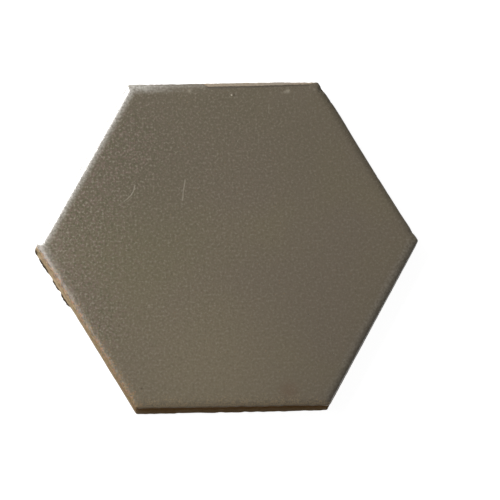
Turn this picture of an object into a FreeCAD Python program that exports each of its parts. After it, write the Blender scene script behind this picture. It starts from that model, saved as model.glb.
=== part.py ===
# A hexagonal floor tile, pressed from one charge of buff clay, glazed on its face and fired: one piece.
#
# Frame: the tile lies on its back. The origin is the middle of the back, +Z comes out of the
# glazed face, +X runs to a corner and +Y to the middle of a side. Sizes are in millimetres.
#
# From the face down, each side has a cushion that falls away in a wide arc, a small arris round,
# a flank that spreads a little towards the back so that the tile leaves its die, and a foot
# chamfer. The back is keyed for mortar with a honeycomb of shallow pockets inside a plain rim.

import FreeCAD, Part
from FreeCAD import Vector

import math
import os

# the whole tile
across_flats = 150.0        # between opposite sides at the foot, before its chamfer
thickness = 10.5            # back to glazed face
flank_draft_deg = 1.8       # lean of each flank from upright, towards the middle as it rises
corner_radius = 1.2         # round of the six upright corners
foot_chamfer = 0.5          # bevel where the flanks meet the back

# the rounded edge of the glazed face
cushion_radius = 5.5        # wide arc that leaves the flat face
cushion_slope_deg = 30.0    # how far that arc has turned down where the arris round takes over
arris_radius = 0.9          # small arc from the cushion into the flank

# the honeycomb of mortar keys in the back
key_across = 10.8           # across the flats of a pocket, at its mouth
key_rib = 3.2               # width of the rib left between two pockets
key_depth = 0.9             # from the back to a pocket's floor
key_draft_deg = 30.0        # lean of a pocket's walls
plain_rim = 6.5             # least width of plain back outside the pockets

# a hexagon's own facts, and what the sizes above come to
SIDES = 6
SIDE_TO_CORNER = math.pi / SIDES            # angle from the middle of a side to a corner
half_flats = across_flats / 2
flank_draft = math.radians(flank_draft_deg)
cushion_slope = math.radians(cushion_slope_deg)
key_draft = math.radians(key_draft_deg)
key_pitch = key_across + key_rib


def flat_face(corners):
    """A plane face with the given corners, in order."""
    return Part.Face(Part.makePolygon(corners + corners[:1]))


def hexagon_corners(half_width, first_angle, z):
    """The corners of a hexagon about the tile's axis, half_width from that axis to each side."""
    reach = half_width / math.cos(SIDE_TO_CORNER)
    angles = [first_angle + 2 * n * SIDE_TO_CORNER for n in range(SIDES)]
    return [Vector(reach * math.cos(a), reach * math.sin(a), z) for a in angles]


def leaning_prism(half_width, lean, bottom, top, first_angle):
    """A hexagonal prism, half_width wide at height 0, whose sides lean in as they rise."""
    low = hexagon_corners(half_width - bottom * math.tan(lean), first_angle, bottom)
    high = hexagon_corners(half_width - top * math.tan(lean), first_angle, top)
    sides = [flat_face([low[n - 1], low[n], high[n], high[n - 1]]) for n in range(SIDES)]
    return Part.makeSolid(Part.makeShell(sides + [flat_face(low), flat_face(high)]))


def pressed_blank():
    """The clay blank: a drafted hexagonal prism with rounded upright corners and a bevelled foot."""
    blank = leaning_prism(half_flats, flank_draft, 0, thickness, 0)
    uprights = [e for e in blank.Edges if e.BoundBox.ZLength > thickness / 2]
    blank = blank.makeFillet(corner_radius, uprights)
    foot_edges = [e for e in blank.Edges if e.BoundBox.ZMax < foot_chamfer / 2]
    return blank.makeChamfer(foot_chamfer, foot_edges)


def section_arc(centre, radius, start, end):
    """An arc in the XZ plane between two angles, measured from upright towards +X."""
    angles = (start, (start + end) / 2, end)
    points = [centre + Vector(radius * math.sin(a), 0, radius * math.cos(a)) for a in angles]
    return Part.Arc(*points).toShape()


def mirrored(edge):
    """The same edge on the other side of the YZ plane."""
    return edge.mirror(Vector(0, 0, 0), Vector(1, 0, 0))


def cushion_bar():
    """A long bar with the tile's section from side to side: flanks, arrises, cushions, flat face."""
    # the two arcs are tangent to each other, the wide one to the face and the small one to the flank
    between_centres = cushion_radius - arris_radius
    arris_z = thickness - cushion_radius + between_centres * math.cos(cushion_slope)
    arris_x = half_flats - arris_radius / math.cos(flank_draft) - arris_z * math.tan(flank_draft)
    cushion_x = arris_x - between_centres * math.sin(cushion_slope)
    cushion_centre = Vector(cushion_x, 0, thickness - cushion_radius)
    arris_centre = Vector(arris_x, 0, arris_z)
    flank_turn = math.pi / 2 - flank_draft
    flank_top = arris_centre + Vector(
        arris_radius * math.sin(flank_turn), 0, arris_radius * math.cos(flank_turn))
    # the bar runs on below the back, so that it trims nothing there
    flank_end = Vector(half_flats + thickness * math.tan(flank_draft), 0, -thickness)

    one_side = [
        section_arc(cushion_centre, cushion_radius, 0, cushion_slope),
        section_arc(arris_centre, arris_radius, cushion_slope, flank_turn),
        Part.makeLine(flank_top, flank_end),
    ]
    across = [
        Part.makeLine(Vector(-cushion_x, 0, thickness), Vector(cushion_x, 0, thickness)),
        Part.makeLine(Vector(-flank_end.x, 0, flank_end.z), flank_end),
    ]
    outline = Part.__sortEdges__(one_side + across + [mirrored(edge) for edge in one_side])
    section = Part.Face(Part.Wire(outline))
    section.translate(Vector(0, -across_flats, 0))
    return section.extrude(Vector(0, 2 * across_flats, 0))


def cushioned(blank):
    """The blank trimmed by a bar across each pair of sides, so that the cushions meet in mitres."""
    for pair in range(SIDES // 2):
        bar = cushion_bar()
        bar.rotate(Vector(0, 0, 0), Vector(0, 0, 1), math.degrees((2 * pair + 1) * SIDE_TO_CORNER))
        blank = blank.common(bar)
    return blank


def key_plug():
    """What one pocket takes out of the back: a low hexagonal plug with a side towards +X."""
    return leaning_prism(key_across / 2, key_draft, -key_depth, key_depth, SIDE_TO_CORNER)


def key_centres():
    """The pockets' centres, in as many whole rings round the middle as leave the plain rim."""
    key_reach = key_across / 2 / math.cos(SIDE_TO_CORNER)
    row_step = key_pitch * math.cos(SIDE_TO_CORNER)
    rings = int((half_flats - plain_rim - key_reach) / row_step)
    centres = []
    for row in range(-rings, rings + 1):
        steps_in_row = 2 * rings - abs(row)
        for step in range(steps_in_row + 1):
            centres.append(Vector((step - steps_in_row / 2) * key_pitch, row * row_step, 0))
    return centres


def keyed(tile):
    """The tile with its mortar keys pressed into the back."""
    plugs = []
    for centre in key_centres():
        plug = key_plug()
        plug.translate(centre)
        plugs.append(plug)
    return tile.cut(Part.makeCompound(plugs))


def hexagon_tile():
    """The finished tile, one solid."""
    return keyed(cushioned(pressed_blank())).removeSplitter().Solids[0]


os.makedirs("parts", exist_ok=True)
hexagon_tile().exportStep("parts/hexagon_tile.step")
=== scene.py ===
import math

import bpy
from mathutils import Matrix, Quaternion, Vector, noise


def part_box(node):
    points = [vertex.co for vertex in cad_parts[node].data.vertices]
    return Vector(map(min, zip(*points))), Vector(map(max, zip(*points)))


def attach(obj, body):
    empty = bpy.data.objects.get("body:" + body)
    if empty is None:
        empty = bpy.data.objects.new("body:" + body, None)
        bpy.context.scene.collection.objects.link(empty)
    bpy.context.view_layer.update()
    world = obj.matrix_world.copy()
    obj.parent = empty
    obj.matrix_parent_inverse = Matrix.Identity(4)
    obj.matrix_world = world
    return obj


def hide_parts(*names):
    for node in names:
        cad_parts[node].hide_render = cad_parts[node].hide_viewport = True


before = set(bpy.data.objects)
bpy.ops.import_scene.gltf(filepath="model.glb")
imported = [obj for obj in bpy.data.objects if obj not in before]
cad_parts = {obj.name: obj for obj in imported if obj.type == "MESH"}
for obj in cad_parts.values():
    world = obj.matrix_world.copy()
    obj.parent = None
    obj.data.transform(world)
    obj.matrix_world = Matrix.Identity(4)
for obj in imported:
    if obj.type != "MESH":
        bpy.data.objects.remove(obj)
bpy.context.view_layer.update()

# THE TILE. One charge of buff clay, pressed in a steel die, glazed on its face and fired: one piece.
# Its skin is one closed mesh, which starts in the middle of the face and runs out over the cushioned
# edge, past the wavy line where the glaze ends, down the bare flanks, round the foot and over the back.

mm = 0.001
high_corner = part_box("hexagon_tile")[1]
half_flats = high_corner.y
thickness = high_corner.z
flank_draft = math.radians(1.8)
cushion_radius = 5.5 * mm
cushion_slope = math.radians(30)
arris_radius = 0.9 * mm
foot_radius = 0.6 * mm
corner_radius = 1.2 * mm
mitre_fill = 3.0 * mm

SIDES = 6
SIDE_TURN = math.tau / SIDES                # from one corner to the next
RIGHT_TOP, TOP, LEFT_TOP, LEFT_LOW, LOW, RIGHT_LOW = range(SIDES)   # as the camera shows them

between_centres = cushion_radius - arris_radius
arris_z = thickness - cushion_radius + between_centres * math.cos(cushion_slope)
arris_half = half_flats - arris_radius / math.cos(flank_draft) - arris_z * math.tan(flank_draft)
flat_half = arris_half - between_centres * math.sin(cushion_slope)
foot_half = half_flats - foot_radius / math.cos(flank_draft) - foot_radius * math.tan(flank_draft)
flank_turn = math.pi / 2 - flank_draft

# lengths along the skin, all counted from where the flat face ends
arris_start = cushion_radius * cushion_slope
flank_start = arris_start + arris_radius * (flank_turn - cushion_slope)
foot_start = (flank_start + (foot_half - arris_half) * math.sin(flank_draft)
              + (arris_z - foot_radius) * math.cos(flank_draft))
back_start = foot_start + foot_radius * (math.pi - flank_turn)


def skin_at(run):
    """Half width, height and lean from upright of the skin, run along it from the flat face's end."""
    if run < 0:
        return flat_half + run, thickness, 0.0
    if run < arris_start:
        lean = run / cushion_radius
        drop = cushion_radius * (1 - math.cos(lean))
        return flat_half + cushion_radius * math.sin(lean), thickness - drop, lean
    if run < flank_start:
        lean = flank_turn - (flank_start - run) / arris_radius
        return arris_half + arris_radius * math.sin(lean), arris_z + arris_radius * math.cos(lean), lean
    if run < foot_start:
        up = foot_start - run
        half = foot_half + foot_radius * math.cos(flank_draft) - up * math.sin(flank_draft)
        return half, foot_radius * (1 + math.sin(flank_draft)) + up * math.cos(flank_draft), flank_turn
    if run < back_start:
        lean = math.pi - (back_start - run) / foot_radius
        return foot_half + foot_radius * math.sin(lean), foot_radius * (1 + math.cos(lean)), lean
    return foot_half - (run - back_start), 0.0, math.pi


def smooth(start, end, value):
    """0 up to start, 1 from end on, and an even curve between them."""
    part = min(max((value - start) / (end - start), 0.0), 1.0)
    return part * part * (3 - 2 * part)


def waves(place, pitch, seed):
    """Even waves over the tile, from about -1 to 1 and two pitches long."""
    return noise.noise(Vector((place[0] / pitch, place[1] / pitch, seed * 7.31)))


# How each side came out. A fact is one number, or several that are spread evenly from the side's
# first corner to its last. In millimetres: where the glaze ends along the skin, how ragged that line
# is, how far in from it the clay shows through, and how uneven the arris is. As shares: how much
# painted shade darkens the flank, most on the sides turned away from the window; how much the glaze
# pooled at its end, with painted shade added along the upper right side; how glassy it ran over the
# edge; and how much painted highlight whitens it there.
side_finish = {
    RIGHT_TOP: dict(glaze_end=4.15, ragged=0.13, thin_width=0.5, uneven=0.07,
                    flank_shade=0.55, pool_and_shade=(0.10, 0.40, 0.70), sheen=(0.10, 0.00), painted_highlight=0.00),
    TOP: dict(glaze_end=4.00, ragged=0.20, thin_width=0.5, uneven=(0.18, 0.26),
              flank_shade=(0.80, 0.60, 0.15, 0.10), pool_and_shade=(0.30, 0.10, 0.00), sheen=(0.00, 0.00, 0.20, 1.00),
              painted_highlight=(0.00, 0.00, 0.00, 0.10, 0.90)),
    LEFT_TOP: dict(glaze_end=5.40, ragged=0.05, thin_width=0.4, uneven=0.02,
                   flank_shade=0.15, pool_and_shade=0.00, sheen=1.00, painted_highlight=(0.70, 0.70, 0.90, 0.70)),
    LEFT_LOW: dict(glaze_end=(3.40, 3.20), ragged=0.45, thin_width=(1.8, 2.4), uneven=0.09,
                   flank_shade=(0.00, 0.43), pool_and_shade=0.00, sheen=(0.72, 0.20, 0.02, 0.00, 0.00),
                   painted_highlight=(0.08, 0.00)),
    LOW: dict(glaze_end=3.35, ragged=0.20, thin_width=3.5, uneven=0.22,
              flank_shade=1.00, pool_and_shade=0.00, sheen=0.00, painted_highlight=0.00),
    RIGHT_LOW: dict(glaze_end=4.10, ragged=0.13, thin_width=0.5, uneven=0.06,
                    flank_shade=0.75, pool_and_shade=0.00, sheen=(0.20, 0.10), painted_highlight=(0.10, 0.20)),
}
corner_blend = 0.05                         # share of a side, at each corner, that mixes two finishes


def spread(values, part):
    """The value part of the way along a few that are evenly spread, easing from each to the next."""
    place = part * (len(values) - 1)
    step = min(int(place), len(values) - 2)
    return values[step] + (values[step + 1] - values[step]) * smooth(step, step + 1, place)


def finish_at(fact, side, part):
    """A fact of the sides' finish, part of the way along a side and mixed near its corners."""
    facts = []
    for near in (side - 1, side, side + 1):
        values = side_finish[near % SIDES][fact]
        facts.append(values if isinstance(values, tuple) else (values, values))
    before, own, after = facts
    value = spread(own, part)
    if part < corner_blend:
        return before[-1] + (value - before[-1]) * smooth(-corner_blend, corner_blend, part)
    return value + (after[0] - value) * smooth(1 - corner_blend, 1 + corner_blend, part)


# The glaze was wiped off the top side's arris along most of its length, from near the right corner.
bare_from, bare_to = 0.02, 0.60
bare_fade = 0.02
bare_glaze_end = 1.60 * mm
bare_narrowing = 0.60 * mm                  # how much less was wiped near the right corner
narrow_share = 0.45                         # share of the side over which that dies away
wiped_shade = 0.5                             # how much of the painted shade is left where it was wiped
bare_film = (0.65, 0.95, 0.80, 0.80, 0.80, 0.80)    # how much glaze film was left, along the side
film_reach = 2.2 * mm                       # how far past the glaze the film starts to fade
film_fade = 1.6 * mm
film_ragged = 0.8 * mm


def bareness(side, part):
    """1 where the arris was wiped bare of glaze, 0 where it is glazed."""
    if side != TOP:
        return 0.0
    return (smooth(bare_from - bare_fade, bare_from + bare_fade, part)
            * (1 - smooth(bare_to - bare_fade, bare_to + bare_fade, part)))


# Pressed tiles never come out quite true. How far each corner has moved at the arris and at the foot,
# and how far each side bows out, at even steps from corner to corner, all in millimetres.
corner_moves = {
    "arris": ((0.29, 0.30), (0.20, 0.15), (-0.08, -0.14), (0, 0), (0, 0), (0, 0)),
    "foot": ((0, 0), (0, 0), (0.10, -0.17), (-0.20, -0.35), (0.58, -0.80), (-0.11, -0.50)),
}
side_bows = {
    "arris": {RIGHT_TOP: (0, -0.23, -0.17, 0.04, 0.42, 0), TOP: (0, 0.23, 0.17, 0.07, -0.06, 0)},
    "foot": {LEFT_TOP: (0, -0.35, -0.35, -0.35, 0), LEFT_LOW: (0, -0.35, -0.33, -0.22, -0.12, 0)},
}


def moved(level, side, part):
    """How far the arris or the foot has moved in plan, part of the way along a side."""
    from_corner = Vector(corner_moves[level][side])
    shift = from_corner.lerp(Vector(corner_moves[level][(side + 1) % SIDES]), part)
    if side in side_bows[level]:
        facing = (side + 0.5) * SIDE_TURN
        shift += spread(side_bows[level][side], part) * Vector((math.cos(facing), math.sin(facing)))
    return Vector((shift.x, shift.y, 0)) * mm


def glaze_end_at(side, part, place):
    """How far along the skin the glaze ends."""
    end = finish_at("glaze_end", side, part) * mm
    wiped_end = bare_glaze_end + bare_narrowing * (1 - smooth(0.0, narrow_share, part))
    end += (wiped_end - end) * bareness(side, part)
    ragged = finish_at("ragged", side, part) * mm
    return end + ragged * (waves(place, 2.2 * mm, 1) + 0.6 * waves(place, 0.9 * mm, 2))


# A thin flash of clay was squeezed out at the foot of the lower left side, from the left corner on.
# Shreds of it stand further out, the first one up the corner, and are painted dark: painted shadow at
# the foot.
flash_height = 3.4 * mm
flash_reach = 0.35 * mm
flash_start = (-0.01, 0.03)                 # shares of the side between which the flash grows
flash_end = 0.40                            # share of the side where the flash has died away
flash_fade = 0.12
shred_edge = 0.008
shred_taper = 0.2                           # share of its height up to which a shred is full
shreds = [                                  # where each starts and ends, its reach and its height
    (-0.035, 0.025, 0.25 * mm, 9.5 * mm),
    (0.050, 0.135, 0.45 * mm, 3.6 * mm),
    (0.178, 0.240, 0.60 * mm, 1.8 * mm),
    (0.264, 0.340, 0.75 * mm, 1.8 * mm),
]


def shred_at(side, part, place, z):
    """How far a shred of the flash reaches out here."""
    if side not in (LEFT_TOP, LEFT_LOW):
        return 0.0
    along = part - 1 if side == LEFT_TOP else part
    reach = 0.0
    for start, end, furthest, height in shreds:
        inside = smooth(start - shred_edge, start + shred_edge, along)
        inside *= 1 - smooth(end - shred_edge, end + shred_edge, along)
        reach = max(reach, furthest * inside * (1 - smooth(shred_taper * height, height, z)))
    return reach * (0.85 + 0.45 * waves(place, 0.9 * mm, 3))


def flash_at(side, part, place):
    """How far the flash as a whole reaches out here, at its foot."""
    if side != LEFT_LOW:
        return 0.0
    even = flash_reach * (1 - smooth(flash_end - flash_fade, flash_end, part))
    return even * smooth(*flash_start, part) * (1 + 0.35 * waves(place, 1.4 * mm, 4))


# The corners are rounded from the first of these places along the skin. Glaze fills the mitres from the
# second, most between the third and the fourth, and no more where the flanks start.
round_from = -1.5 * mm
fill_from, fill_full, fill_fades = -2 * mm, 1 * mm, 1.2 * mm


def corner_round_at(run):
    """How rounded the corners are in plan: sharp on the face, and most where glaze fills the mitres."""
    filled = smooth(fill_from, fill_full, run) * (1 - smooth(fill_fades, flank_start, run))
    return corner_radius * smooth(round_from, flank_start, run) + mitre_fill * filled


def plan_at(side, part, half_width, corner_round):
    """Place in plan, and the way outwards, part of the way along one side of a ring."""
    straight = (half_width - corner_round) * math.tan(SIDE_TURN / 2)
    along = (2 * part - 1) * (straight + corner_round * SIDE_TURN / 2)
    turn = 0.0
    if abs(along) > straight and corner_round > 0:
        turn = math.copysign((abs(along) - straight) / corner_round, along)
        along = math.copysign(straight, along)
    out = half_width - corner_round + corner_round * math.cos(turn)
    along += corner_round * math.sin(turn)
    facing = (side + 0.5) * SIDE_TURN
    place = (out * math.cos(facing) - along * math.sin(facing),
             out * math.sin(facing) + along * math.cos(facing))
    return place, facing + turn


def skin_point(side, part, run):
    """A point of the skin before any wear, the way outwards there and the way its surface faces."""
    half_width, z, lean = skin_at(run)
    (x, y), facing = plan_at(side, part, half_width, corner_round_at(run))
    outwards = Vector((math.cos(facing), math.sin(facing), 0))
    return Vector((x, y, z)), outwards, outwards * math.sin(lean) + Vector((0, 0, math.cos(lean)))


# Knocks on the edges: the side, the share of it, and in millimetres how far along the skin each one
# lies, its size and its depth.
knocks = [
    (RIGHT_TOP, 0.955, 3.3, 2.6, 0.42),
    (RIGHT_TOP, 0.875, 3.6, 1.5, 0.20),
    (RIGHT_TOP, 0.055, 3.5, 2.4, 0.30),
    (RIGHT_TOP, 0.40, 3.6, 1.2, 0.12),
    (TOP, 0.045, 3.3, 1.4, 0.28),
    (TOP, 0.33, 3.4, 1.3, 0.14),
    (TOP, 0.74, 3.4, 1.1, 0.12),
    (TOP, 0.90, 3.4, 1.4, 0.16),
    (LEFT_LOW, 0.153, 7.0, 1.5, 0.35),
    (LEFT_LOW, 0.243, 7.5, 1.9, 0.40),
    (LEFT_LOW, 0.52, 9.0, 1.4, 0.20),
    (LOW, 0.22, 11.5, 1.8, 0.22),
    (LOW, 0.57, 11.8, 1.5, 0.18),
    (LOW, 0.985, 11.0, 2.4, 0.45),
    (RIGHT_LOW, 0.02, 11.0, 2.4, 0.40),
]
knock_places = [(skin_point(side, part, run * mm)[0], size * mm, depth * mm)
                for side, part, run, size, depth in knocks]

glaze_thickness = 0.16 * mm
glaze_lip = 0.22 * mm                       # how far in from its end the glaze rounds over
bare_rise = 2.5 * mm                        # how far past the glaze the clay is on the drawing's line
face_waves = 0.018 * mm                     # how far the face is out of flat
shoulder_drop = 0.12 * mm                   # the face sinks a little before the cushion starts
shoulder_width = 1.5 * mm
back_settling = 3 * mm                      # how far in on the back it is true again


def face_rise(place, run):
    """How far the glaze lies above the drawing's line: a little below it, so less than nothing."""
    sunk = math.exp(-abs(run) / shoulder_width)
    return face_waves * (waves(place, 6 * mm, 7) - 1) - shoulder_drop * (sunk if run < 0 else 2 - sunk)


def glaze_step(beyond):
    """How far the surface lies below the glaze's own, beyond being the way past the glaze's end."""
    if beyond < -glaze_lip:
        return 0.0
    if beyond < 0:
        into = 1 + beyond / glaze_lip
        return glaze_thickness * (1 - math.sqrt(1 - into * into))
    return glaze_thickness * (1 - smooth(0, bare_rise, beyond))


def worn_point(side, part, run, glaze_end):
    """A point of the finished skin, with its unevenness, glaze edge, flash and knocks."""
    point, outwards, normal = skin_point(side, part, run)
    place = (point.x, point.y)
    uneven = finish_at("uneven", side, part) * mm * smooth(0, flank_start, run)
    ripple = 0.65 * waves(place, 2.6 * mm, 5) + 0.35 * waves(place, 1.1 * mm, 6)
    towards_foot = smooth(0.0, 1.0, 1 - point.z / thickness)
    point += outwards * uneven * (ripple + (waves(place, 2.9 * mm, 8) - ripple) * towards_foot)
    if run < foot_start:
        point -= normal * glaze_step(run - glaze_end)
        point.z += face_rise(place, run) * (1 - towards_foot)
    under = smooth(0, back_settling, run - back_start)
    point += moved("arris", side, part) * smooth(0, flank_start, run) * (1 - towards_foot)
    point += moved("foot", side, part) * towards_foot * (1 - under)
    flash = flash_at(side, part, place) * (1 - smooth(0, flash_height, point.z))
    flash += shred_at(side, part, place, point.z)
    point += outwards * flash * (1 - under)
    for centre, size, depth in knock_places:
        apart = (point - centre).length
        if apart < size:
            ragged = 1 + 0.4 * waves(place, 0.6 * mm, 9)
            point -= normal * depth * ragged * (1 - (apart / size) ** 2) ** 2
    point.z = min(max(point.z, 0.0), thickness)
    return point


def ring_runs(glaze_end):
    """Where rings lie along the skin, close together at the arris, the glaze's end and the foot."""
    flat = [-2.4 * mm, -1.8 * mm, -1.2 * mm, -0.6 * mm]
    cushion_steps = 14
    cushion = [(glaze_end - glaze_lip) * n / cushion_steps for n in range(cushion_steps + 1)]
    lip = [glaze_end - back * mm for back in (0.12, 0.05, 0.0)]
    below = [glaze_end + on * mm
             for on in (0.04, 0.12, 0.24, 0.4, 0.58, 0.78, 1.0, 1.24, 1.5, 1.8, 2.2)]
    foot = [foot_start - up * mm for up in (3.2, 2.5, 1.9, 1.4, 1.0, 0.6, 0.3, 0.0)]
    flank_steps = 5
    flank = [below[-1] + (foot[0] - below[-1]) * n / flank_steps for n in range(1, flank_steps)]
    turn_steps = 4
    turn = [foot_start + (back_start - foot_start) * n / turn_steps for n in range(1, turn_steps + 1)]
    back = [back_start + on * mm for on in (0.5, 1.3)]
    return flat + cushion + lip + below + flank + foot + turn + back, len(flat + cushion + lip) - 1


points = []
faces = []
glazed = []                                 # for each face, whether glaze covers it
wear = {"glaze_thinness": {}, "glaze_pooling_and_shade": {}, "glaze_flow": {}, "glaze_painted_highlight": {},
        "clay_painted_shade": {}, "clay_film": {}, "clay_shred_shadow": {}}


def add_face(corners, is_glazed):
    """A face between numbered points, and whether glaze covers it."""
    faces.append(corners)
    glazed.append(is_glazed)


def join_rings(inner, outer, is_glazed):
    """A band of faces between two rings with as many points each."""
    for n in range(len(inner)):
        follows = (n + 1) % len(inner)
        add_face((inner[n], outer[n], outer[follows], inner[follows]), is_glazed)


def join_coarse(coarse_and_glinting, fine, is_glazed, below=False):
    """A band of faces between a ring and one outside it with three times its points."""
    for n in range(len(coarse_and_glinting)):
        here, follows = coarse_and_glinting[n], coarse_and_glinting[(n + 1) % len(coarse_and_glinting)]
        first, second, third, last = (fine[(3 * n + k) % len(fine)] for k in range(4))
        for corners in ((here, first, second), (here, second, third, follows), (follows, third, last)):
            add_face(corners[::-1] if below else corners, is_glazed)


# the flat face, a lattice of triangles in rings about its middle, a third as fine as the edge's rings
steps_per_side = 216
face_rings = steps_per_side // 3
lattice_gap = 3.2 * mm                      # from the lattice to where the flat face ends
lattice_half = flat_half - lattice_gap
lattice = [[0]]
points.append(Vector((0, 0, thickness + face_rise((0, 0), -flat_half))))
for ring in range(1, face_rings + 1):
    row = []
    half_width = lattice_half * ring / face_rings
    for side in range(SIDES):
        for step in range(ring):
            place = plan_at(side, step / ring, half_width, 0.0)[0]
            row.append(len(points))
            rise = face_rise(place, half_width - flat_half)
            points.append(Vector((place[0], place[1], thickness + rise)))
    inner = lattice[-1]
    for side in range(SIDES):
        for step in range(ring):
            out_here = row[side * ring + step]
            out_next = row[(side * ring + step + 1) % len(row)]
            in_here = inner[(side * (ring - 1) + step) % len(inner)]
            add_face((in_here, out_here, out_next), True)
            if step < ring - 1:
                in_next = inner[(side * (ring - 1) + step + 1) % len(inner)]
                add_face((in_here, out_next, in_next), True)
    lattice.append(row)

# the edge and the flanks, ring by ring from the face round to the back
pool_width = 4.2 * mm                       # how far in from its end the glaze pools, and the painted shade on the upper right side reaches
wiped_line = 0.15 * mm                      # a dark line borders the wiped clay, full this far in
wiped_line_fade = (0.5 * mm, 1.5 * mm)      # and fading between these two distances in
over_edge_run = (-2.4 * mm, 0.8 * mm)       # places along the skin between which the glaze runs over
foot_shade_loss = 0.25                            # how much of the painted shade is taken off well below the glaze, so lighter towards the foot
foot_shade_fade = (0.5 * mm, 6 * mm)
shadowed_reach = (0.02 * mm, 0.22 * mm)       # reach of a shred from where its painted shadow starts to where it is full
skin_rings = []
for step in range(SIDES * steps_per_side):
    side, part = step // steps_per_side, step % steps_per_side / steps_per_side
    arris_place = plan_at(side, part, arris_half, corner_radius)[0]
    glaze_end = glaze_end_at(side, part, arris_place)
    runs, end_ring = ring_runs(glaze_end)
    bare = bareness(side, part)
    thin_width = finish_at("thin_width", side, part) * mm
    # painted shade on each flank, most on the sides turned away from the window, less where the arris
    # was wiped
    flank_shade = finish_at("flank_shade", side, part) * (1 - (1 - wiped_shade) * bare)
    for ring, run in enumerate(runs):
        if step == 0:
            skin_rings.append([])
        index = len(points)
        skin_rings[ring].append(index)
        points.append(worn_point(side, part, run, glaze_end))
        before_end = max(glaze_end - run, 0.0)
        line = smooth(0, wiped_line, before_end) * (1 - smooth(*wiped_line_fade, before_end))
        # glaze pooling, which along the upper right side is painted shade
        pool_and_shade = finish_at("pool_and_shade", side, part) * (1 - smooth(0, pool_width, before_end))
        wear["glaze_thinness"][index] = math.exp(-before_end / thin_width)
        wear["glaze_pooling_and_shade"][index] = max(bare * line, pool_and_shade)
        over_edge = smooth(*over_edge_run, run)
        wear["glaze_flow"][index] = finish_at("sheen", side, part) * over_edge
        # painted highlight along the edge, where the glaze runs over it
        wear["glaze_painted_highlight"][index] = finish_at("painted_highlight", side, part) * over_edge
        wear["clay_painted_shade"][index] = flank_shade * (1 - foot_shade_loss * smooth(*foot_shade_fade, run - glaze_end))
        film_edge = run - glaze_end - film_reach + film_ragged * waves(arris_place, 1.3 * mm, 12)
        film = bare * spread(bare_film, part)
        wear["clay_film"][index] = film * (1 - smooth(0, film_fade, film_edge))
        # painted shadow on the shreds at the foot
        shred = shred_at(side, part, arris_place, points[-1].z)
        wear["clay_shred_shadow"][index] = smooth(*shadowed_reach, shred)

join_coarse(lattice[-1], skin_rings[0], True)
for ring in range(len(skin_rings) - 1):
    join_rings(skin_rings[ring], skin_rings[ring + 1], ring < end_ring)

# two coarser rings on the plain rim of the back, and then the honeycomb of mortar keys
fine_ring = skin_rings[-1]
for run, steps in ((2.6 * mm, steps_per_side // 3), (4.0 * mm, steps_per_side // 9)):
    coarse_ring = []
    for step in range(SIDES * steps):
        place = plan_at(step // steps, step % steps / steps, foot_half - run, corner_radius)[0]
        coarse_ring.append(len(points))
        points.append(Vector((place[0], place[1], 0)))
    join_coarse(coarse_ring, fine_ring, False, below=True)
    fine_ring = coarse_ring

key_across = 10.8 * mm                      # a pocket's mouth
key_rib = 3.2 * mm
key_depth = 0.9 * mm
key_draft = math.radians(30)
key_circles = 5                             # circles of pockets about the middle one
key_edge = 0.15 * mm                        # softening of a pocket's edges, along the back
key_corner = 0.9 * mm                       # rounding of a pocket's corners in plan
key_corner_cut = 0.155 * key_corner         # how far that takes a corner's middle in
key_uneven = 0.05                           # how uneven a pocket is, as a share of its depth
key_pitch = key_across + key_rib
mouth_half = key_across / 2
floor_half = mouth_half - key_depth * math.tan(key_draft)
pocket_levels = [                           # half width and height of a pocket's rings
    (mouth_half + 2 * key_edge, 0.0),
    (mouth_half + key_edge, 0.0),
    (mouth_half + 0.15 * key_edge, 0.4 * key_edge),
    (mouth_half - 0.5 * key_edge, 0.9 * key_edge),
    (floor_half + 0.5 * key_edge, key_depth - 0.9 * key_edge),
    (floor_half - 0.15 * key_edge, key_depth - 0.4 * key_edge),
    (floor_half - key_edge, key_depth),
    (floor_half - 3 * key_edge, key_depth),
]


def pocket_ring(half_width, apart, rounding):
    """Three points at each corner of a pocket's ring, the outer two some way along its sides."""
    ring = []
    for corner in range(SIDES):
        turned = (corner - 0.5) * SIDE_TURN
        reach = half_width / math.cos(SIDE_TURN / 2)
        for aside in (-1, 0, 1):
            out = reach if aside else reach - rounding
            way = turned + aside * 2 * SIDE_TURN
            ring.append((out * math.cos(turned) + abs(aside) * apart * math.cos(way),
                         out * math.sin(turned) + abs(aside) * apart * math.sin(way)))
    return ring


rib_points = {}                             # points on the ribs that neighbouring pockets share
rib_edges = set()
row_step = key_pitch * math.cos(SIDE_TURN / 2)
rib_third = key_pitch * math.tan(SIDE_TURN / 2) / 3
key_corner_reach = key_corner * math.tan(SIDE_TURN / 2)
for row in range(-key_circles, key_circles + 1):
    steps_in_row = 2 * key_circles - abs(row)
    for step in range(steps_in_row + 1):
        centre = ((step - steps_in_row / 2) * key_pitch, row * row_step)
        outer = []
        for x, y in pocket_ring(key_pitch / 2, rib_third, 0.0):
            key = (round((centre[0] + x) / mm, 3) + 0.0, round((centre[1] + y) / mm, 3) + 0.0)
            if key not in rib_points:
                rib_points[key] = len(points)
                points.append(Vector((centre[0] + x, centre[1] + y, 0)))
            outer.append(rib_points[key])
        rib_edges.update((here, outer[n - len(outer) + 1]) for n, here in enumerate(outer))
        for half_width, z in pocket_levels:
            inner = []
            for x, y in pocket_ring(half_width, key_corner_reach, key_corner_cut):
                place = (centre[0] + x, centre[1] + y)
                uneven = key_uneven * z * waves(place, 1.7 * mm, 11)
                inner.append(len(points))
                points.append(Vector((place[0], place[1], z + uneven)))
            join_rings(outer, inner, False)
            outer = inner
        middle = len(points)
        points.append(Vector((centre[0], centre[1], key_depth)))
        for n, here in enumerate(outer):
            add_face((here, middle, outer[n - len(outer) + 1]), False)

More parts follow.
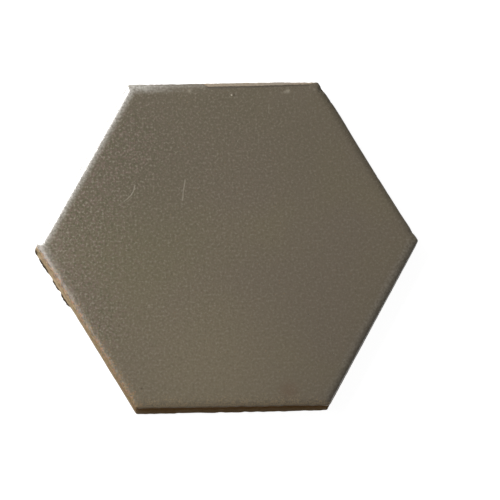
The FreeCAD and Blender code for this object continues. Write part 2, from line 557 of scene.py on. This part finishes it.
# the plain back between the coarse ring and the outermost ribs, point by point round the middle
outermost_ribs = sorted({here for here, follows in rib_edges if (follows, here) not in rib_edges})
turned = {n: math.atan2(points[n].y, points[n].x) for n in fine_ring + outermost_ribs}
on_ring = max(fine_ring, key=turned.get)
on_rib = max(outermost_ribs, key=turned.get)
for n in sorted(turned, key=turned.get):
    add_face((on_ring, on_rib, n), False)
    if n in fine_ring:
        on_ring = n
    else:
        on_rib = n

tile_mesh = bpy.data.meshes.new("glazed_tile")
tile_mesh.from_pydata(points, [], faces)
for name, values in wear.items():
    layer = tile_mesh.attributes.new(name, "FLOAT", "POINT")
    layer.data.foreach_set("value", [values.get(n, 0.0) for n in range(len(points))])
tile_mesh.polygons.foreach_set("use_smooth", [True] * len(faces))
tile_mesh.polygons.foreach_set("material_index", [0 if covered else 1 for covered in glazed])
tile = bpy.data.objects.new("glazed_tile", tile_mesh)
bpy.context.scene.collection.objects.link(tile)


def linear(*levels):
    """A colour for a shader socket, from the 0 to 255 levels that a screen shows."""
    return tuple(((level / 255 + 0.055) / 1.055) ** 2.4 for level in levels) + (1.0,)


def add_node(tree, kind, sockets=None, **settings):
    """A new node, its sockets given values or linked to the sockets of other nodes."""
    made = tree.nodes.new(kind)
    for name, value in settings.items():
        setattr(made, name, value)
    for name, value in (sockets or {}).items():
        if isinstance(value, bpy.types.NodeSocket):
            tree.links.new(value, made.inputs[name])
        else:
            made.inputs[name].default_value = value
    return made


def add_math(tree, operation, first, second):
    """The result of a sum on two values or sockets."""
    return add_node(tree, "ShaderNodeMath", {0: first, 1: second}, operation=operation).outputs[0]


def add_vector_math(tree, operation, first, second, result="Vector"):
    """The result of a sum on two vectors."""
    made = add_node(tree, "ShaderNodeVectorMath", {0: first, 1: second}, operation=operation)
    return made.outputs[result]


def add_range(tree, value, start, end, low=0.0, high=1.0):
    """A value carried from one range to another along an even curve, and held at its ends."""
    sockets = {"Value": value, "From Min": start, "From Max": end, "To Min": low, "To Max": high}
    return add_node(tree, "ShaderNodeMapRange", sockets, interpolation_type="SMOOTHSTEP").outputs[0]


def add_mix(tree, share, colour, other):
    """One colour mixed with another. The node's colours are its sockets 6 and 7, and its output 2."""
    made = add_node(tree, "ShaderNodeMix", {0: share, 6: colour, 7: other}, data_type="RGBA")
    return made.outputs[2]


def add_tint(tree, colour, mask, share, tint):
    """A colour with another over it, as far as a mask and a share of it say."""
    return add_mix(tree, add_math(tree, "MULTIPLY", mask, share), colour, tint)


def new_effect(name, inputs, outputs):
    """A node group with named inputs, given with their usual values, and named outputs."""
    group = bpy.data.node_groups.new(name, "ShaderNodeTree")
    for socket, value in inputs.items():
        kind = "NodeSocketVector" if isinstance(value, tuple) else "NodeSocketFloat"
        made = group.interface.new_socket(socket, in_out="INPUT", socket_type=kind)
        made.default_value = value
    for socket in outputs:
        group.interface.new_socket(socket, in_out="OUTPUT", socket_type="NodeSocketFloat")
    return group, group.nodes.new("NodeGroupInput").outputs, group.nodes.new("NodeGroupOutput").inputs


def add_effect(tree, group, **inputs):
    """A group placed in a material. Its inputs' names are given with underscores for spaces."""
    sockets = {name.replace("_", " "): value for name, value in inputs.items()}
    return add_node(tree, "ShaderNodeGroup", sockets, node_tree=group).outputs


# fired grain: the fine pebbling that a matt crystal glaze and pressed clay both have
grain, given, result = new_effect("fired grain", {"Place": (0, 0, 0), "Pitch": 0.001, "Detail": 2.0},
                                  ["Height"])
per_metre = add_math(grain, "DIVIDE", 1.0, given["Pitch"])
rough = add_node(grain, "ShaderNodeTexNoise", {"Vector": given["Place"], "Scale": per_metre,
                                               "Detail": given["Detail"], "Roughness": 0.6})
grain.links.new(rough.outputs["Fac"], result["Height"])

# pebbles: round crystals side by side in a matt glaze, each with a number of its own
pebbles, given, result = new_effect("pebbles", {"Place": (0, 0, 0), "Pitch": 0.001},
                                    ["Height", "Number"])
per_metre = add_math(pebbles, "DIVIDE", 1.0, given["Pitch"])
cells = add_node(pebbles, "ShaderNodeTexVoronoi", {"Vector": given["Place"], "Scale": per_metre})
pebbles.links.new(add_range(pebbles, cells.outputs["Distance"], 0.1, 0.8, 1.0, 0.0), result["Height"])
number = add_node(pebbles, "ShaderNodeSeparateColor", {"Color": cells.outputs["Color"]}).outputs[0]
pebbles.links.new(number, result["Number"])

# cloud: slow drifts from place to place, of the glaze's colour or the clay's
cloud, given, result = new_effect("cloud", {"Place": (0, 0, 0), "Pitch": 0.03, "Edge": 0.2}, ["Mask"])
per_metre = add_math(cloud, "DIVIDE", 1.0, given["Pitch"])
drift = add_node(cloud, "ShaderNodeTexNoise", {"Vector": given["Place"], "Scale": per_metre,
                                               "Detail": 1.5})
start = add_math(cloud, "SUBTRACT", 0.5, given["Edge"])
end = add_math(cloud, "ADD", 0.5, given["Edge"])
cloud.links.new(add_range(cloud, drift.outputs["Fac"], start, end), result["Mask"])

# speck: scattered small spots, such as iron in the glaze, pinholes, and pores in the clay
speck, given, result = new_effect(
    "speck", {"Place": (0, 0, 0), "Spacing": 0.004, "Size": 0.0004, "Share": 0.5}, ["Mask"])
per_metre = add_math(speck, "DIVIDE", 1.0, given["Spacing"])
cells = add_node(speck, "ShaderNodeTexVoronoi", {"Vector": given["Place"], "Scale": per_metre})
from_middle = add_math(speck, "MULTIPLY", cells.outputs["Distance"], given["Spacing"])
inner_edge = add_math(speck, "MULTIPLY", given["Size"], 0.25)
outer_edge = add_math(speck, "MULTIPLY", given["Size"], 0.6)
spots = add_range(speck, from_middle, inner_edge, outer_edge, 1.0, 0.0)
number = add_node(speck, "ShaderNodeSeparateColor", {"Color": cells.outputs["Color"]}).outputs[0]
chosen = add_math(speck, "LESS_THAN", number, given["Share"])
speck.links.new(add_math(speck, "MULTIPLY", spots, chosen), result["Mask"])

# scratch: one straight stroke between two places
scratch, given, result = new_effect(
    "scratch", {"Place": (0, 0, 0), "Start": (0, 0, 0), "End": (0, 0, 0), "Width": 0.0003}, ["Mask"])
stroke = add_vector_math(scratch, "SUBTRACT", given["End"], given["Start"])
from_start = add_vector_math(scratch, "SUBTRACT", given["Place"], given["Start"])
reached = add_vector_math(scratch, "DOT_PRODUCT", from_start, stroke, "Value")
stroke_squared = add_vector_math(scratch, "DOT_PRODUCT", stroke, stroke, "Value")
share = add_math(scratch, "MAXIMUM", add_math(scratch, "DIVIDE", reached, stroke_squared), 0.0)
share = add_math(scratch, "MINIMUM", share, 1.0)
nearest = add_node(scratch, "ShaderNodeVectorMath", {0: stroke, "Scale": share}, operation="SCALE")
apart = add_vector_math(scratch, "DISTANCE", from_start, nearest.outputs[0], "Value")
scratch.links.new(add_range(scratch, apart, 0.0, given["Width"], 1.0, 0.0), result["Mask"])

# patch: one soft-edged spot or stain
patch, given, result = new_effect(
    "patch", {"Place": (0, 0, 0), "Middle": (0, 0, 0), "Size": 0.01}, ["Mask"])
apart = add_vector_math(patch, "DISTANCE", given["Place"], given["Middle"], "Value")
patch.links.new(add_range(patch, apart, 0.0, given["Size"], 1.0, 0.0), result["Mask"])


def new_finish(name):
    """A new material with its shader, and places on the tile as a socket."""
    material = bpy.data.materials.new(name)
    material.use_nodes = True
    tree = material.node_tree
    tree.nodes.clear()
    shader = tree.nodes.new("ShaderNodeBsdfPrincipled")
    output = tree.nodes.new("ShaderNodeOutputMaterial")
    tree.links.new(shader.outputs[0], output.inputs["Surface"])
    return material, tree, shader, tree.nodes.new("ShaderNodeTexCoord").outputs["Object"]


def wear_mask(tree, name):
    """One of the kinds of wear that the mesh carries from point to point."""
    return add_node(tree, "ShaderNodeAttribute", attribute_name=name).outputs["Fac"]


def face_patch(tree, place, x, y, size):
    """The mask of one patch on the tile's face, its place and size in millimetres."""
    middle = (x * mm, y * mm, thickness)
    return add_effect(tree, patch, Place=place, Middle=middle, Size=size * mm)["Mask"]


# The satin glaze: a thin matt crystal glaze, taupe, with a pebbled skin. The buff clay shows through it
# where it is thin, and slow drifts of cooler, greener and warmer taupe run over it. Some of these
# colours
# are painted light: the milky white is a painted highlight, the dusky tint is painted shade over the
# upper left, the pale tint and stronger grain at the left corner are painted highlight and glints, the
# burnt colours are painted shade on the flanks turned away from the window, and the pooled colour is
# pooling on the top side and painted shade on the upper right side.
glaze_taupe = linear(115, 106, 87)
glaze_cool = linear(114, 104, 89)
glaze_olive = linear(113, 106, 84)
glaze_warm = linear(123, 113, 93)
glaze_dusky_and_shade = linear(103, 95, 80)
glaze_highlight_white = linear(186, 182, 172)
glaze_violet = linear(124, 107, 97)
glaze_green = linear(98, 96, 74)
glaze_over_straw = linear(143, 115, 70)
glaze_over_peach = linear(162, 115, 80)
glaze_over_brown = linear(104, 80, 52)
glaze_over_shaded_clay = linear(143, 127, 101)
glaze_shaded_end = linear(86, 58, 20)
glaze_pooled_and_shaded = linear(66, 56, 38)
glaze_iron = linear(62, 48, 36)
glaze_worn_and_lit = linear(154, 146, 130)
glaze_shade = linear(90, 81, 66)
glaze_bright = linear(214, 204, 184)
glaze_rusty = linear(108, 80, 62)
glaze_roughness = (0.19, 0.26)              # from the hollows of its grain to the tops
glaze_relief = 0.24 * mm

glaze, tree, shader, place = new_finish("satin_glaze")
shader.inputs["IOR"].default_value = 1.7
cool = add_effect(tree, cloud, Place=place, Pitch=32 * mm)["Mask"]
colour = add_mix(tree, cool, glaze_taupe, glaze_cool)
# tinted patches: x, y and size in millimetres, share and tint. The dusky one over the upper left is
# painted shade where the window's sheen falls, and the pale one at the left corner is a painted
# highlight.
for x, y, size, share, tint in (
        (-45, 5, 45, 1.0, glaze_olive), (-10, -60, 60, 1.0, glaze_warm),
        (-45, 50, 75, 1.0, glaze_dusky_and_shade), (30, 55, 60, 0.5, glaze_dusky_and_shade),
        (0, 75, 35, 0.6, glaze_dusky_and_shade), (-87, 0, 22, 0.25, glaze_worn_and_lit)):
    colour = add_tint(tree, colour, face_patch(tree, place, x, y, size), share, tint)

# its grain is coarser towards the left corner, and there it breaks into violet and green; the stronger
# colour grain there is painted glints of the window's light, over the glaze's own grain
coarse_and_glinting = face_patch(tree, place, -95, 20, 170)
grain_and_glint_contrast = add_range(tree, coarse_and_glinting, 0.0, 0.5, 0.24, 0.36)
for x, y, size, share in ((-80, 8, 50, 0.42), (-50, 45, 35, 0.25), (-66, -36, 30, 0.34)):
    glint_patch = add_math(tree, "MULTIPLY", face_patch(tree, place, x, y, size), share)
    grain_and_glint_contrast = add_math(tree, "ADD", grain_and_glint_contrast, glint_patch)
crystals = add_effect(tree, pebbles, Place=place, Pitch=1.05 * mm)
strength = add_range(tree, grain_and_glint_contrast, 0.28, 0.68, 0.15, 1.0)
shown = add_math(tree, "MULTIPLY", crystals["Height"], strength)
for start, end, tint in ((0.62, 0.68, glaze_violet), (0.32, 0.26, glaze_green)):
    colour = add_tint(tree, colour, add_range(tree, crystals["Number"], start, end), shown, tint)
sandy = add_effect(tree, grain, Place=place, Pitch=1.05 * mm, Detail=1.0)["Height"]
for end, tint in ((0.75, glaze_worn_and_lit), (0.25, glaze_shade)):
    colour = add_tint(tree, colour, add_range(tree, sandy, 0.5, end), grain_and_glint_contrast, tint)
mottle = add_effect(tree, grain, Place=place, Pitch=0.66 * mm)["Height"]

# where it ran over the edge a pale speckled colour is painted on it: a painted highlight, strongest
# along the upper left side
flow = wear_mask(tree, "glaze_flow")
highlight_share = wear_mask(tree, "glaze_painted_highlight")
highlight_share = add_math(tree, "MULTIPLY", highlight_share, add_range(tree, sandy, 0.35, 0.6, 0.2, 0.8))
colour = add_mix(tree, highlight_share, colour, glaze_highlight_white)

# stray marks on the face, placed in millimetres: light and dark dots and smudges, and a rusty stain
for x, y, size, share, tint in (
        (4.4, 68.8, 0.9, 0.45, glaze_iron), (3.5, 68.8, 0.64, 1.0, glaze_bright),
        (-36.3, -28.1, 0.8, 0.22, glaze_bright),
        (-15.6, 70.9, 1.6, 0.55, glaze_worn_and_lit), (29.3, 70.4, 1.6, 0.85, glaze_worn_and_lit),
        (27.9, 70.0, 1.2, 0.5, glaze_worn_and_lit), (-40.5, -65.8, 0.9, 0.5, glaze_iron),
        (41.4, 71.0, 1.1, 0.35, glaze_worn_and_lit), (25.4, -68.0, 7.0, 0.3, glaze_rusty)):
    colour = add_tint(tree, colour, face_patch(tree, place, x, y, size), share, tint)

# light strokes on the face: the two ends of each, in millimetres, and how much it shows
stroke_width = 0.55 * mm
scratched = None
strokes = [
    ((-46.4, 19.9), (-44.8, 21.2), 0.55), ((-44.8, 21.2), (-43.2, 22.8), 0.55),
    ((-43.2, 22.8), (-42.2, 24.6), 0.55), ((-42.2, 24.6), (-41.6, 26.9), 0.55),
    ((-18.7, 29.4), (-19.6, 24.8), 0.55), ((-19.6, 24.8), (-20.1, 20.1), 0.55),
    ((20.4, 64.2), (20.2, 60.5), 0.28),
]
for start, end, share in strokes:
    ends = [(x * mm, y * mm, thickness) for x, y in (start, end)]
    stroke = add_effect(tree, scratch, Place=place, Start=ends[0], End=ends[1], Width=stroke_width)
    stroke = add_math(tree, "MULTIPLY", stroke["Mask"], share)
    scratched = stroke if scratched is None else add_math(tree, "MAXIMUM", scratched, stroke)
colour = add_mix(tree, scratched, colour, glaze_worn_and_lit)

iron = add_effect(tree, speck, Place=place, Spacing=7 * mm, Size=0.45 * mm, Share=0.4)["Mask"]
colour = add_tint(tree, colour, iron, 0.5, glaze_iron)

# towards its end it is thin, so the clay shows through, and where it pooled it is dark; along the upper
# right side this dark band is painted shade
thinness = wear_mask(tree, "glaze_thinness")
pooling_and_shade = wear_mask(tree, "glaze_pooling_and_shade")
peachy = add_range(tree, crystals["Number"], 0.45, 0.55)
over_clay = add_mix(tree, peachy, glaze_over_straw, glaze_over_peach)
brownish = add_range(tree, crystals["Number"], 0.72, 0.78)
over_clay = add_mix(tree, brownish, over_clay, glaze_over_brown)
# painted shade: on the shaded flanks the thin glaze is greyer and ends in a dark brown line
flank_shade = wear_mask(tree, "clay_painted_shade")
over_shaded_clay = add_mix(tree, add_range(tree, thinness, 0.81, 0.98), glaze_over_shaded_clay, glaze_shaded_end)
over_clay = add_mix(tree, flank_shade, over_clay, over_shaded_clay)
broken = add_math(tree, "MULTIPLY", add_math(tree, "SUBTRACT", mottle, 0.5), 2.5)
shown = add_range(tree, add_math(tree, "ADD", thinness, broken), 0.35, 0.85)
colour = add_mix(tree, shown, colour, over_clay)
colour = add_mix(tree, pooling_and_shade, colour, glaze_pooled_and_shaded)
tree.links.new(colour, shader.inputs["Base Color"])

roughness = add_range(tree, mottle, 0.3, 0.7, *glaze_roughness)
roughness = add_math(tree, "ADD", roughness, add_math(tree, "MULTIPLY", pooling_and_shade, 0.35))
tree.links.new(roughness, shader.inputs["Roughness"])

# its relief: grain, slow and fine, with pinholes and strokes in it, and flatter over the edge
peel = add_effect(tree, grain, Place=place, Pitch=3 * mm)["Height"]
pinhole = add_effect(tree, speck, Place=place, Spacing=5 * mm, Size=0.5 * mm, Share=0.3)["Mask"]
soft = add_effect(tree, grain, Place=place, Pitch=1.5 * mm, Detail=0.0)["Height"]
soft = add_math(tree, "MULTIPLY", soft, add_range(tree, coarse_and_glinting, 0.1, 0.9, 0.10, 0.25))
height = add_math(tree, "ADD", add_math(tree, "MULTIPLY", mottle, 0.35), soft)
height = add_math(tree, "ADD", height, add_math(tree, "MULTIPLY", peel, 0.3))
height = add_math(tree, "SUBTRACT", height, add_math(tree, "MULTIPLY", pinhole, 0.8))
height = add_math(tree, "SUBTRACT", height, add_math(tree, "MULTIPLY", scratched, 0.36))
height = add_math(tree, "MULTIPLY", height, add_range(tree, flow, 0.0, 1.0, 1.0, 0.3))
relief = add_node(tree, "ShaderNodeBump", {"Height": height, "Distance": glaze_relief})
tree.links.new(relief.outputs["Normal"], shader.inputs["Normal"])

# over the cushioned edge the glaze ran smooth and glassy
tree.links.new(flow, shader.inputs["Coat Weight"])
shader.inputs["Coat IOR"].default_value = 2.1
shader.inputs["Coat Roughness"].default_value = 0.32

# The fired clay: buff and sandy, with darker and lighter grains of grog and small pores. Painted shade
# makes it brown on the lower side and the other flanks turned away from the window, and the shreds of
# flash at the foot are painted dark: painted shadow.
clay_buff = linear(198, 177, 144)
clay_pink = linear(200, 162, 129)
clay_straw = linear(180, 162, 116)
clay_grog = linear(226, 208, 180)
clay_rubbed = linear(132, 104, 72)
clay_iron = linear(96, 68, 44)
clay_shaded_brown = linear(110, 76, 24)
clay_sand = linear(184, 162, 129)
clay_pale_sand = linear(202, 180, 148)
clay_filmed = linear(149, 139, 126)
clay_shadow_dark = linear(64, 52, 38)
clay_roughness = (0.82, 0.95)
clay_relief = 0.12 * mm
clay_mottled = (3.0 * mm, 7.0 * mm)         # heights between which the even tone gives way to mottling

clay, tree, shader, place = new_finish("fired_clay")
shader.inputs["Specular IOR Level"].default_value = 0.15
pinkness = add_effect(tree, cloud, Place=place, Pitch=4 * mm, Edge=0.1)["Mask"]
colour = add_mix(tree, pinkness, clay_straw, clay_pink)
buffness = add_effect(tree, cloud, Place=place, Pitch=1.6 * mm, Edge=0.15)["Mask"]
colour = add_mix(tree, buffness, colour, clay_buff)
grog = add_effect(tree, speck, Place=place, Spacing=1.9 * mm, Size=1.2 * mm, Share=0.40)["Mask"]
colour = add_tint(tree, colour, grog, 0.8, clay_grog)
rubbed = add_effect(tree, cloud, Place=place, Pitch=1.2 * mm, Edge=0.06)["Mask"]
colour = add_tint(tree, colour, rubbed, 0.6, clay_rubbed)
iron = add_effect(tree, speck, Place=place, Spacing=1.9 * mm, Size=1.0 * mm, Share=0.45)["Mask"]
colour = add_tint(tree, colour, iron, 0.8, clay_iron)

# it is mottled near the arris, where it is worn, and an even sandy tone below that and on the back
above_foot = add_node(tree, "ShaderNodeSeparateXYZ", {"Vector": place}).outputs["Z"]
paleness = add_effect(tree, cloud, Place=place, Pitch=2.4 * mm, Edge=0.12)["Mask"]
even = add_mix(tree, paleness, clay_sand, clay_pale_sand)
mottling = add_range(tree, above_foot, *clay_mottled, 0.25, 1.0)
colour = add_mix(tree, mottling, even, colour)
flank_shade = wear_mask(tree, "clay_painted_shade")
film = wear_mask(tree, "clay_film")
shred_shadow = wear_mask(tree, "clay_shred_shadow")
# painted shade: darker brown on the flanks turned away from the window
colour = add_mix(tree, flank_shade, colour, clay_shaded_brown)
colour = add_mix(tree, film, colour, clay_filmed)
# painted shadow: the shreds at the foot are dark
colour = add_mix(tree, shred_shadow, colour, clay_shadow_dark)
tree.links.new(colour, shader.inputs["Base Color"])

sand = add_effect(tree, grain, Place=place, Pitch=0.5 * mm)["Height"]
tree.links.new(add_range(tree, sand, 0.3, 0.7, *clay_roughness), shader.inputs["Roughness"])
pores = add_effect(tree, speck, Place=place, Spacing=1.4 * mm, Size=0.45 * mm, Share=0.4)["Mask"]
height = add_math(tree, "SUBTRACT", sand, add_math(tree, "MULTIPLY", pores, 0.7))
relief = add_node(tree, "ShaderNodeBump", {"Height": height, "Distance": clay_relief})
tree.links.new(relief.outputs["Normal"], shader.inputs["Normal"])

tile_mesh.materials.append(glaze)
tile_mesh.materials.append(clay)
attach(tile, "root")
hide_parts("hexagon_tile")

# THE FLOOR. A plain white sheet that the tile lies on. To the camera it is almost white by itself,
# and the lamps and the tile's shadow do the rest. It throws little light back on the flanks.
floor_reach = 2.0
floor_drop = 0.05 * mm                      # so that it doesn't touch the tile's back
floor_grey = (0.30, 0.30, 0.30, 1.0)
floor_glow = 0.95
floor_mesh = bpy.data.meshes.new("floor")
floor_corners = [(-1, -1), (1, -1), (1, 1), (-1, 1)]
floor_mesh.from_pydata([(x * floor_reach, y * floor_reach, -floor_drop) for x, y in floor_corners],
                       [], [(0, 1, 2, 3)])
floor = bpy.data.objects.new("floor", floor_mesh)
bpy.context.scene.collection.objects.link(floor)

floor_white, tree, shader, place = new_finish("floor_white")
shader.inputs["Base Color"].default_value = floor_grey
shader.inputs["Roughness"].default_value = 0.9
glow = add_node(tree, "ShaderNodeEmission", {"Color": (1, 1, 1, 1), "Strength": floor_glow})
rays = add_node(tree, "ShaderNodeLightPath").outputs
seen = add_math(tree, "MAXIMUM", rays["Is Camera Ray"], rays["Is Glossy Ray"])
seen = add_math(tree, "MAXIMUM", seen, rays["Is Transmission Ray"])
dark = tree.nodes.new("ShaderNodeEmission")
dark.inputs["Strength"].default_value = 0.0
glow_if_seen = add_node(tree, "ShaderNodeMixShader", {0: seen, 1: dark.outputs[0], 2: glow.outputs[0]})
both = add_node(tree, "ShaderNodeAddShader", {0: shader.outputs[0], 1: glow_if_seen.outputs[0]})
output = next(n for n in tree.nodes if n.bl_idname == "ShaderNodeOutputMaterial")
tree.links.new(both.outputs[0], output.inputs["Surface"])
floor_mesh.materials.append(floor_white)

# THE LIGHT. A tall window close by on the left and a dim grey room. The window is low enough to catch
# the cushioned edge on the left, which turns white there. Three small white cards throw a little more
# light on the far edge, the left corner and the lower left flank.


def aimed(place, target, roll=0.0):
    """The turn that points a lamp or a camera from a place to a target, its top upwards."""
    turn = (Vector(target) - Vector(place)).to_track_quat("-Z", "Y")
    return (turn @ Quaternion((0, 0, 1), roll)).to_euler()


lamps = [                                   # name, width, height, power, place and target of each
    ("window", 0.14, 0.66, 9.2, (-0.55, 0.47, 0.47), (0, 0, 0)),
    ("far_card", 0.14, 0.14, 0.06, (-0.03, 0.36, 0.19), (-0.04, 0.07, 0)),
    ("near_card", 0.14, 0.14, 0.13, (-0.25, -0.04, 0.20), (-0.08, 0, 0)),
    ("low_card", 0.6, 0.12, 0.25, (-0.45, 0.02, 0.08), (-0.08, 0, 0)),
]
for name, width, height, power, place, target in lamps:
    lamp = bpy.data.lights.new(name, "AREA")
    lamp.shape = "RECTANGLE"
    lamp.size = width
    lamp.size_y = height
    lamp.energy = power
    lamp_object = bpy.data.objects.new(name, lamp)
    lamp_object.location = place
    lamp_object.rotation_euler = aimed(place, target)
    bpy.context.scene.collection.objects.link(lamp_object)

room_strength = 0.14
room = bpy.data.worlds.new("room")
room.use_nodes = True
room_shade = room.node_tree.nodes["Background"]
room_shade.inputs["Color"].default_value = (1.0, 1.0, 1.0, 1.0)
room_shade.inputs["Strength"].default_value = room_strength
bpy.context.scene.world = room

# THE CAMERA. It looks down on the tile from far off through a long lens, so its sides stay nearly
# parallel. It stands a little towards the lower left and is turned, so two flanks show.
camera_place = Vector((-113.89, -330.20, 1547.93)) * mm
camera_target = Vector((9.91, -3.05, 9.17)) * mm
camera_roll = math.radians(19.494)
camera = bpy.data.objects.new("camera", bpy.data.cameras.new("camera"))
camera.data.sensor_width = 36
camera.data.lens = 252
camera.location = camera_place
camera.rotation_euler = aimed(camera_place, camera_target, camera_roll)
bpy.context.scene.collection.objects.link(camera)
bpy.context.scene.camera = camera
bpy.context.scene.view_settings.view_transform = "Standard"
